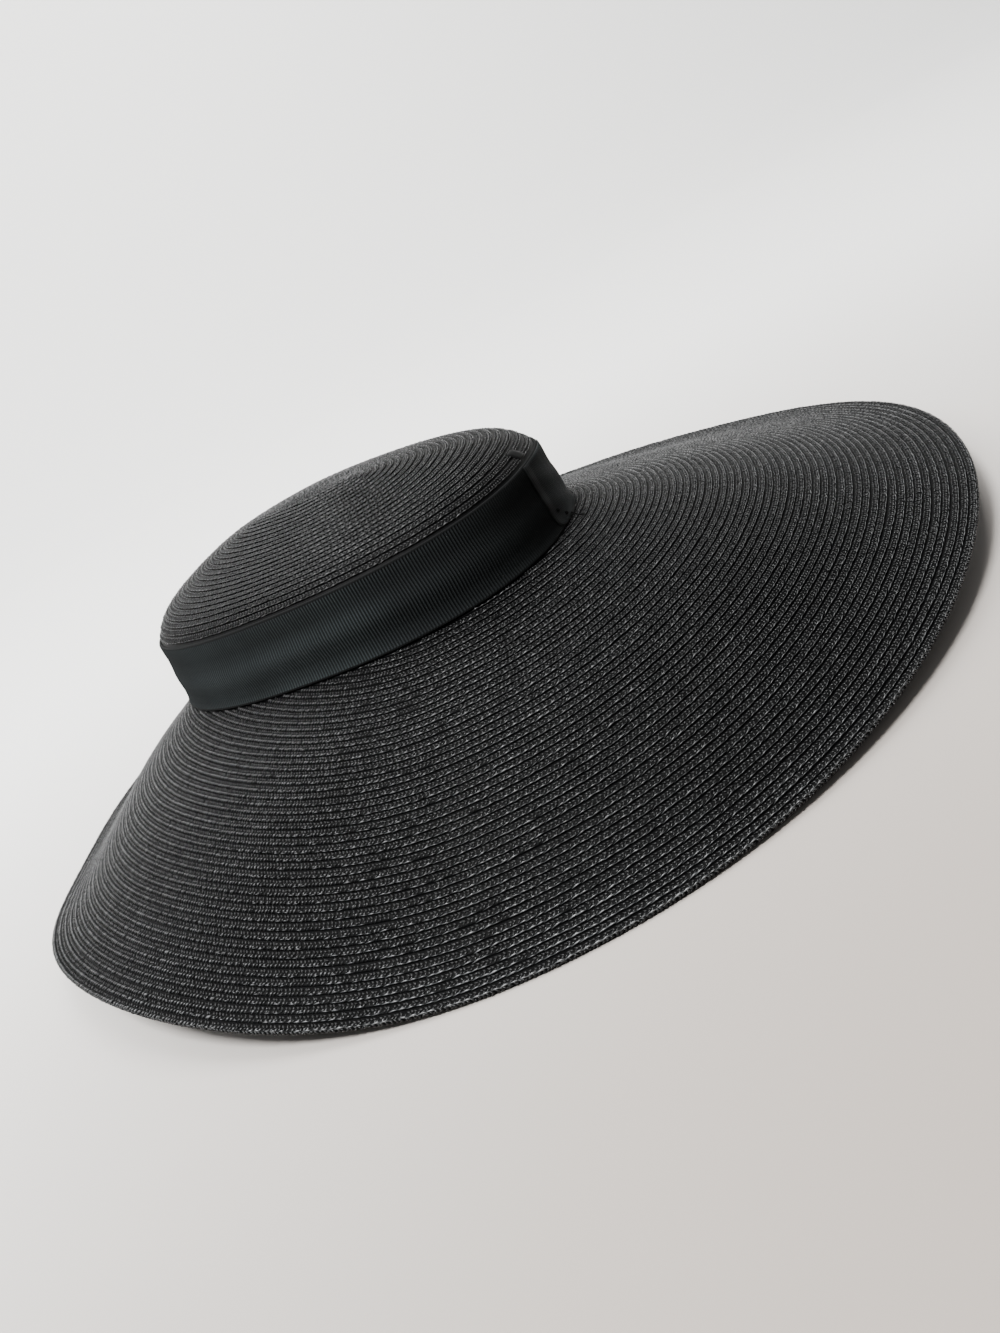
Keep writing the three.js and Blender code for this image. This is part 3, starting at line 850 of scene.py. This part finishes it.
# Braid end: where the sewing of the top began again, a short end of braid is tucked flat
# over the last rows at the narrow end of the crown, next to the ribbon.
END_COLUMN = CROWN_COLUMNS * 0.75
END_START, END_REACH, END_HALF_COLUMNS = 0.4, 5.0, 0.9
END_STEPS, END_ACROSS = 9, 5
END_LIFT, END_CROWN, END_TUCK, END_THICK = 0.55, 0.2, 0.25, 0.7
END_TONE = 0.2
end_in, end_side = np.meshgrid(
    np.linspace(END_START, END_REACH, END_STEPS), np.linspace(-1, 1, END_ACROSS), indexing="ij"
)
end_column = (END_COLUMN + end_side * END_HALF_COLUMNS).ravel()
end_lift = (END_LIFT - END_CROWN * end_side**2 - END_TUCK * np.clip(end_in - END_REACH + 1, 0, 1)).ravel()
end_top = crown_at(end_column, end_in.ravel(), end_lift)
end_under = crown_at(end_column, end_in.ravel(), end_lift - END_THICK)
end_faces = sheet_faces(END_STEPS, END_ACROSS)
braid_end = mesh_piece("braid_end", np.concatenate([end_top, end_under]), end_faces)
set_tones(braid_end, np.full(len(braid_end.data.vertices), END_TONE))
braid_end.data.materials.append(straw_ground)
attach(braid_end, "root")

# Stitches: two small knots of black thread hold the lapped end, and the thread's loose tail
# lies on the brim beside it.
KNOTS = ((329.0, 7.5), (332.3, 3.3))
KNOT_RADIUS, KNOT_OUT = 0.8, 1.3
TAIL_RADIUS = 0.3
TAIL_DEG, TAIL_OUT, TAIL_HEIGHT = 334.5, 1.6, 1.6
# Each point of the tail: millimetres out from the ribbon, degrees aside, and lift off the brim.
TAIL_POINTS = ((2.4, 0.25, 1.5), (4.2, -0.1, 0.9), (6.4, 0.45, 0.9))
THREAD_DARK, THREAD_LIGHT = (0.001, 0.001, 0.001), (0.006, 0.006, 0.006)
knot_spots = [side_at(np.array([deg]), -KNOT_OUT - ribbon_dents(deg, up), up)[0] for deg, up in KNOTS]
tail_start = side_at(np.array([TAIL_DEG]), -TAIL_OUT, TAIL_HEIGHT)[0]
tail_deg = math.degrees(math.atan2(tail_start[1], tail_start[0])) % 360
tail_path = [tail_start]
for reach, aside, lift in TAIL_POINTS:
    column = (tail_deg + aside) * BRIM_COLUMNS / 360
    inward = np.interp(column, brim_columns, head_reach) - reach
    tail_path.append(brim_at(np.array([column]), np.array([inward]), np.array([lift]))[0])
bpy.ops.object.select_all(action="DESELECT")
thread_parts = []
for spot in knot_spots:
    bpy.ops.mesh.primitive_uv_sphere_add(
        segments=12, ring_count=8, radius=KNOT_RADIUS * MM, location=[float(v) * MM for v in spot]
    )
    thread_parts.append(bpy.context.active_object)
curve = bpy.data.curves.new("thread_tail", "CURVE")
curve.dimensions = "3D"
curve.bevel_depth = TAIL_RADIUS * MM
curve.bevel_resolution = 2
curve.use_fill_caps = True
spline = curve.splines.new("NURBS")
spline.points.add(len(tail_path) - 1)
for knot, spot in zip(spline.points, tail_path):
    knot.co = (*[float(v) * MM for v in spot], 1.0)
spline.use_endpoint_u = True
tail = bpy.data.objects.new("thread_tail", curve)
bpy.context.collection.objects.link(tail)
thread_parts.append(tail)
bpy.ops.object.select_all(action="DESELECT")
for part in thread_parts:
    part.select_set(True)
bpy.context.view_layer.objects.active = tail
bpy.ops.object.convert(target="MESH")
bpy.context.view_layer.objects.active = thread_parts[0]
bpy.ops.object.join()
stitches = bpy.context.active_object
stitches.name = "stitches"
bpy.ops.object.transform_apply(location=True, rotation=True, scale=True)
bpy.ops.object.shade_smooth()
thread_black = ribbon_material("thread_black", THREAD_DARK, THREAD_LIGHT)
stitches.data.materials.clear()
stitches.data.materials.append(thread_black)
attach(stitches, "root")

# Floor: one pale matt sheet that lies under the hat and sweeps up behind it without a
# corner. A warm painted shade darkens it close in front of the brim.
FLOOR_SIZE, FLOOR_CUTS = 6.0, 60
SWEEP_START, SWEEP_RISE = 1.1, 2.6
PALE, NEAR_SHADE = (0.80, 0.795, 0.775, 1), (0.27, 0.232, 0.2, 1)
SHADE_SPOT, SHADE_REACH = (0.12, -0.42, 0.0), 0.9
bpy.ops.object.select_all(action="DESELECT")
bpy.ops.mesh.primitive_plane_add(size=FLOOR_SIZE, location=(0, 0, 0))
floor = bpy.context.active_object
floor.name = "floor"
bpy.ops.object.mode_set(mode="EDIT")
bpy.ops.mesh.select_all(action="SELECT")
bpy.ops.mesh.subdivide(number_cuts=FLOOR_CUTS)
bpy.ops.object.mode_set(mode="OBJECT")
for vertex in floor.data.vertices:
    back = max(0.0, vertex.co.y - SWEEP_START)
    vertex.co.z = SWEEP_RISE * (1 - math.exp(-(back**2)))
bpy.ops.object.shade_smooth()
pale_floor = bpy.data.materials.new("pale_floor")
pale_floor.use_nodes = True
floor_nodes, floor_links = pale_floor.node_tree.nodes, pale_floor.node_tree.links
floor_place = floor_nodes.new("ShaderNodeTexCoord")
floor_reach = floor_nodes.new("ShaderNodeVectorMath")
floor_reach.operation = "DISTANCE"
floor_reach.inputs[1].default_value = SHADE_SPOT
floor_links.new(floor_place.outputs["Object"], floor_reach.inputs[0])
floor_fade = floor_nodes.new("ShaderNodeMapRange")
floor_fade.inputs["From Max"].default_value = SHADE_REACH
floor_links.new(floor_reach.outputs["Value"], floor_fade.inputs["Value"])
floor_colours = floor_nodes.new("ShaderNodeValToRGB")
floor_colours.color_ramp.interpolation = "EASE"
floor_colours.color_ramp.elements[0].position = 0.0
floor_colours.color_ramp.elements[0].color = NEAR_SHADE
floor_colours.color_ramp.elements[1].color = PALE
floor_links.new(floor_fade.outputs["Result"], floor_colours.inputs["Fac"])
floor_shader = floor_nodes["Principled BSDF"]
floor_links.new(floor_colours.outputs["Color"], floor_shader.inputs["Base Color"])
floor_shader.inputs["Roughness"].default_value = 0.9
floor.data.materials.append(pale_floor)

# Light: a large soft window at the upper left, a smaller lamp over the front, and a wash
# on the sweep behind the hat. A faint cool sky fills in the shadows.
SKY, SKY_STRENGTH = (0.95, 0.97, 1.0, 1), 0.33
# Each light: name, place, what it is aimed at, size, and power.
LIGHTS = (
    ("window", (-1.5, 0.7, 1.7), (0, 0, 0), 1.6, 65.0),
    ("lamp", (-0.6, -0.6, 1.7), (0, 0, 0), 0.5, 76.0),
    ("wash", (0.2, 0.9, 2.4), (0, 1.0, 0), 1.6, 90.0),
)
world = bpy.data.worlds.new("studio")
bpy.context.scene.world = world
world.use_nodes = True
world.node_tree.nodes["Background"].inputs["Color"].default_value = SKY
world.node_tree.nodes["Background"].inputs["Strength"].default_value = SKY_STRENGTH
for name, spot, aim, size, power in LIGHTS:
    light = bpy.data.lights.new(name, "AREA")
    light.size = size
    light.energy = power
    lamp = bpy.data.objects.new(name, light)
    bpy.context.collection.objects.link(lamp)
    lamp.location = spot
    away = [a - b for a, b in zip(aim, spot)]
    lamp.rotation_euler = (
        math.atan2(math.hypot(away[0], away[1]), -away[2]),
        0.0,
        math.atan2(-away[0], away[1]),
    )
